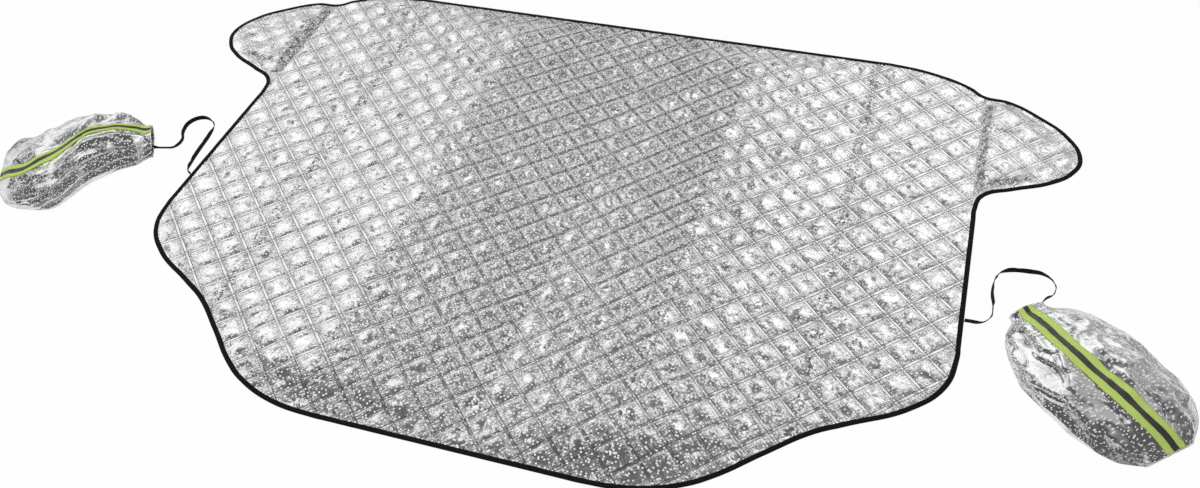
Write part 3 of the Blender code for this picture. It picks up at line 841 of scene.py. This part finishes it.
strips = {
    "band": {"width": 0.036, "cloth": 0.0006, "lift": 0.0009, "slot": "bright_band",
             "colour": (0.60, 0.79, 0.19), "threads": 1100},
    "stripe": {"width": 0.011, "cloth": 0.0004, "lift": 0.0015, "slot": "grey_stripe",
               "colour": (0.07, 0.072, 0.065), "beads": 1400.0},
}
film = {
    "tone": 0.78,
    "dotTone": 0.96,
    "dotSpacing": 0.0062,
    "dotSize": 0.21,
    "dotShare": 0.95,
    "roughness": 0.24,
    "rows": 140,
    "around": 150,
    "gathers": 9,
    "gatherDepth": 0.22,      # at the mouth, as a share of the radius
    "folds": 0.014,           # height of the long folds
    "foldSize": 0.035,
    "crumple": 0.0045,
    "crumpleSize": 0.030,
    "lumps": 0.005,
    "lumpSize": 0.075,
    "underBand": 0.35,        # share of all these that is left under the band
    "girth": 2.4,             # round half the film, as a share of its half width
    "stretch": (0.30, 1.0, 1.0),     # of the facets, lengthwise
    "cut": (0.50, 0.33),      # the film before it is sewn into a sack
    "wideFacets": (0.024, 0.18),
    "fineFacets": (0.006, 0.13),
    # ridges: angle round the pouch at the mouth and at the end, height, width in degrees, and the
    # shares of the length where they start and end
    "right": ((152, 128, 0.008, 20, 0.02, 1.0), (124, 148, 0.004, 12, 0.3, 0.9),
              (60, 38, 0.006, 16, 0.05, 0.8), (30, 60, 0.005, 14, 0.45, 1.0)),
    "left": ((68, 72, 0.012, 16, 0.05, 0.60), (38, 60, 0.006, 18, 0.0, 0.45),
             (58, 34, 0.007, 17, 0.35, 1.0), (120, 136, 0.006, 16, 0.1, 0.7),
             (142, 116, 0.006, 16, 0.5, 1.0)),
}


def soften(values, width):
    kernel = np.exp(-0.5 * (np.arange(-3 * width, 3 * width + 1) / width) ** 2)
    padded = np.pad(values, 3 * width, mode="edge")
    return np.convolve(padded, kernel / kernel.sum(), mode="valid")


def sideValues(side, key, places):
    values = pouch[side][key]
    return soften(np.interp(places, np.linspace(0, pouch["length"], len(values)), values), 4)


def pouchLines(side):
    # distance from the mouth, half width and height, row by row
    full = pouch["length"] - pouch["hem"]
    marks = [0, pouch["hem"] * 0.7, pouch["hem"]]
    marks += [pouch["hem"] + share * full for share in pouch["along"]] + [pouch["length"]]
    wide = [pouch["mouthHalf"], pouch["mouthHalf"], pouch["mouthHalf"] * 0.92]
    wide += [share * pouch["halfWidth"] for share in pouch["wide"]] + [pouch["endHalf"]]
    high = [pouch["mouthHeight"], pouch["mouthHeight"], pouch["mouthHeight"] * 0.86]
    high += [share * pouch["height"] for share in pouch["high"]] + [pouch["endHeight"]]
    places = np.linspace(0, pouch["length"], film["rows"])
    wide = soften(np.interp(places, marks, wide), 2) * sideValues(side, "spread", places)
    return places, wide, soften(np.interp(places, marks, high), 2)


def layDown(side, local, high):
    # bends, leans and bunches a straight pouch up as it lies, then puts it in its place
    spot = pouch[side]
    heading = math.radians(spot["heading"])
    places = np.linspace(0, pouch["length"], film["rows"])
    bend = np.interp(local[:, 0], places, sideValues(side, "bend", places))
    lean = np.interp(local[:, 0], places, sideValues(side, "lean", places))
    along = local[:, 0] * spot["bunching"]
    across = local[:, 1] + bend + lean * local[:, 2] / high
    x = spot["mouth"][0] + along * math.cos(heading) - across * math.sin(heading)
    y = spot["mouth"][1] + along * math.sin(heading) + across * math.cos(heading)
    return np.column_stack((x, y, local[:, 2]))


def addSack(side, material):
    seed = pouch[side]["seed"]
    places, wide, high = pouchLines(side)
    half = np.array(pouch["section"])
    ring = np.vstack((half, half[::-1] * (-1, 1)))
    wayRound = np.linalg.norm(np.diff(np.vstack((ring, ring[:1])), axis=0), axis=1).sum()
    ring = evenLine(ring, wayRound / film["around"], True)[:film["around"]]
    count = len(ring)
    angle = np.arctan2(ring[:, 1], ring[:, 0])
    dice = np.random.RandomState(seed)
    phases = dice.uniform(0, 2 * math.pi, 6)
    rows, ridges = [], []
    for along, halfWide, tall in zip(places, wide, high):
        share = along / pouch["length"]
        rise = np.zeros(count)
        for first, last, lift, spread, start, end in film[side]:
            off = np.abs(np.degrees(angle) - (first + (last - first) * share)) / spread
            there = ease(share, start, start + 0.12) * ease(share, end, end - 0.12)
            rise += lift * np.clip(1 - off, 0, 1) ** 1.5 * there
        ridges.append(rise * ease(share, 0.02, 0.10) * ease(share, 1.0, 0.85))
        gather = film["gatherDepth"] * max(0, 1 - share / 0.85) ** 1.3 * ease(along, 0.004, 0.012)
        pucker = np.cos(film["gathers"] * angle + phases[0] + 1.5 * share)
        pucker += 0.7 * np.cos(7 * angle + phases[1] - 2.5 * share)
        pucker += 0.5 * np.cos(17 * angle + phases[2] + share) * (1 - share)
        scale = 1 + gather * 0.5 * pucker
        across = ring[:, 0] * halfWide * (1 + (scale - 1) * 0.5)
        up = tall / 2 + ring[:, 1] * tall / 2 * scale
        rows.append(np.column_stack((np.full(count, along), across, np.maximum(up, 0))))
    local = np.vstack(rows)
    base = local.copy()
    stretched = base * (0.35, 1, 1)
    folds = creases(stretched, film["foldSize"], seed, 2) - 0.4
    crumple = creases(base, film["crumpleSize"], seed + 2, 3) - 0.4
    lumps = unevenness(base, film["lumpSize"], seed + 4, 2)
    share = base[:, 0] / pouch["length"]
    body = ease(share, 0.03, 0.15) * ease(share, 1.0, 0.86)
    middle = np.column_stack((base[:, 0], np.zeros(len(base)), np.repeat(high / 2, count)))
    outward = base - middle
    outward[:, 0] = 0
    outward /= np.maximum(np.linalg.norm(outward, axis=1), 1e-6)[:, None]
    push = (folds * film["folds"] + crumple * film["crumple"] + lumps * film["lumps"]) * body
    push += np.concatenate(ridges)
    top = ease(base[:, 2] / np.maximum(np.repeat(high, count), 1e-6), 0.30, 0.72)
    offBand = np.abs(base[:, 1]) - strips["band"]["width"] / 2
    top *= film["underBand"] + (1 - film["underBand"]) * ease(offBand, -0.004, 0.012)
    local += outward * (push * top)[:, None]
    local[:, 2] = np.clip(local[:, 2], 0, None)
    faces = []
    for row in range(len(places) - 1):
        for spoke in range(count):
            after = (spoke + 1) % count
            faces.append((row * count + after, row * count + spoke,
                          (row + 1) * count + spoke, (row + 1) * count + after))
    faces.append([(len(places) - 1) * count + spoke for spoke in range(count)][::-1])
    mesh = meshFrom(side + "Sack", layDown(side, local, np.repeat(high, count)), faces)
    layer = mesh.uv_layers.new(name="film")
    for face in mesh.polygons[:-1]:
        row, spoke = divmod(face.index, count)
        girth = film["girth"] * wide[row]
        corners = ((0, 1), (0, 0), (1, 0), (1, 1))
        for loop, (down, on) in zip(face.loop_indices, corners):
            layer.data[loop].uv = (places[row + down], (spoke + on - count / 4) / count * 2 * girth)
    sack = addObject(side + "Sack", mesh)
    bm = bmesh.new()
    bm.from_mesh(mesh)
    bmesh.ops.recalc_face_normals(bm, faces=bm.faces)
    bm.to_mesh(mesh)
    bm.free()
    solid = sack.modifiers.new("film", "SOLIDIFY")
    solid.thickness = pouch["film"]
    solid.offset = -1
    applyModifiers(sack)
    dress(sack, material, "pouch_film", side + "_pouch")
    return sack


def filmMaterial():
    material, tree, shader = newMaterial("pouchFilm", [film["tone"]] * 3, film["roughness"], 0.95)
    place = addNode(tree, "ShaderNodeTexCoord").outputs["Object"]
    uv = addNode(tree, "ShaderNodeUVMap", uv_map="film").outputs["UV"]
    dots = pinDots(tree, uv, film["dotSpacing"], film["dotSize"], film["dotShare"])
    base = calc(tree, "MULTIPLY_ADD", dots, film["dotTone"] - film["tone"], film["tone"])
    tree.links.new(base, shader.inputs["Base Color"])
    tree.links.new(calc(tree, "MULTIPLY_ADD", dots, -0.92, 0.95), shader.inputs["Metallic"])
    # the film's facets run lengthwise
    long = addNode(tree, "ShaderNodeMapping", {"Vector": uv, "Scale": film["stretch"]})
    long = long.outputs["Vector"]
    wide = facets(tree, warped(tree, long, 22.0, 0.03), *film["wideFacets"])
    small = facets(tree, warped(tree, long, 60.0, 0.01), *film["fineFacets"])
    patches = addNode(tree, "ShaderNodeTexNoise", {"Vector": place, "Scale": 22.0, "Detail": 2.0})
    small = calc(tree, "MULTIPLY", small, between(tree, patches.outputs["Fac"], 0.42, 0.60))
    normal = addBump(tree, calc(tree, "ADD", wide, small), 1.0)
    tree.links.new(normal, shader.inputs["Normal"])
    return material


def addStrip(side, key, sack, material):
    facts = strips[key]
    places, wide, high = pouchLines(side)
    mesh = sack.data
    tree = BVHTree.FromPolygons([vertex.co for vertex in mesh.vertices],
                                [face.vertices for face in mesh.polygons])
    columns = 13
    local = []
    shares = sideValues(side, "shown", places)
    most = 0.40 * facts["width"] / strips["band"]["width"]
    for along, halfWide, tall, shown in zip(places, wide, high, shares):
        half = min(facts["width"] / 2 * shown, most * halfWide)
        for share in np.linspace(-1, 1, columns):
            local.append((along, share * half, tall))
    above = layDown(side, np.array(local), np.repeat(high, columns))
    above[:, 2] = 0.2
    points = []
    for place in above:
        hit = tree.ray_cast(Vector(place), Vector((0, 0, -1)))[0]
        points.append([place[0], place[1], hit.z if hit else np.nan])
    points = np.array(points).reshape(len(places), columns, 3)
    heights = points[:, :, 2]
    for row in heights:
        lost = np.isnan(row)
        if lost.all():
            row[:] = 0.02
        elif lost.any():
            row[lost] = np.interp(np.flatnonzero(lost), np.flatnonzero(~lost), row[~lost])
    points[:, :, 2] = heights + facts["lift"]
    faces = []
    for row in range(len(places) - 1):
        for column in range(columns - 1):
            first = row * columns + column
            faces.append((first, first + columns, first + columns + 1, first + 1))
    mesh = meshFrom(side + key.capitalize(), points.reshape(-1, 3), faces)
    layer = mesh.uv_layers.new(name="tape")
    for loop in mesh.loops:
        row, column = divmod(loop.vertex_index, columns)
        layer.data[loop.index].uv = (places[row], (column / (columns - 1) - 0.5) * facts["width"])
    strip = addObject(side + key.capitalize(), mesh)
    solid = strip.modifiers.new("cloth", "SOLIDIFY")
    solid.thickness = facts["cloth"]
    solid.offset = -1
    applyModifiers(strip)
    dress(strip, material, facts["slot"], side + "_pouch_" + key)
    return strip


def bandMaterial():
    material, tree, shader = newMaterial("brightBand", strips["band"]["colour"], 0.6)
    uv = addNode(tree, "ShaderNodeUVMap", uv_map="tape").outputs["UV"]
    parts = addNode(tree, "ShaderNodeSeparateXYZ", {"Vector": uv})
    threads = strips["band"]["threads"]
    weave = calc(tree, "MULTIPLY", waves(tree, parts.outputs["X"], threads),
                 waves(tree, parts.outputs["Y"], threads))
    tree.links.new(addBump(tree, weave, 0.00008), shader.inputs["Normal"])
    return material


def stripeMaterial():
    material, tree, shader = newMaterial("greyStripe", strips["stripe"]["colour"], 0.4, 0.3)
    place = addNode(tree, "ShaderNodeTexCoord").outputs["Object"]
    beads = addNode(tree, "ShaderNodeTexVoronoi",
                    {"Vector": place, "Scale": strips["stripe"]["beads"]})
    tree.links.new(addBump(tree, beads.outputs["Distance"], 0.0001), shader.inputs["Normal"])
    return material


pouchFilm, brightBand, greyStripe = filmMaterial(), bandMaterial(), stripeMaterial()
for side in ("left", "right"):
    sack = addSack(side, pouchFilm)
    addStrip(side, "band", sack, brightBand)
    addStrip(side, "stripe", sack, greyStripe)
print("pouches ready")
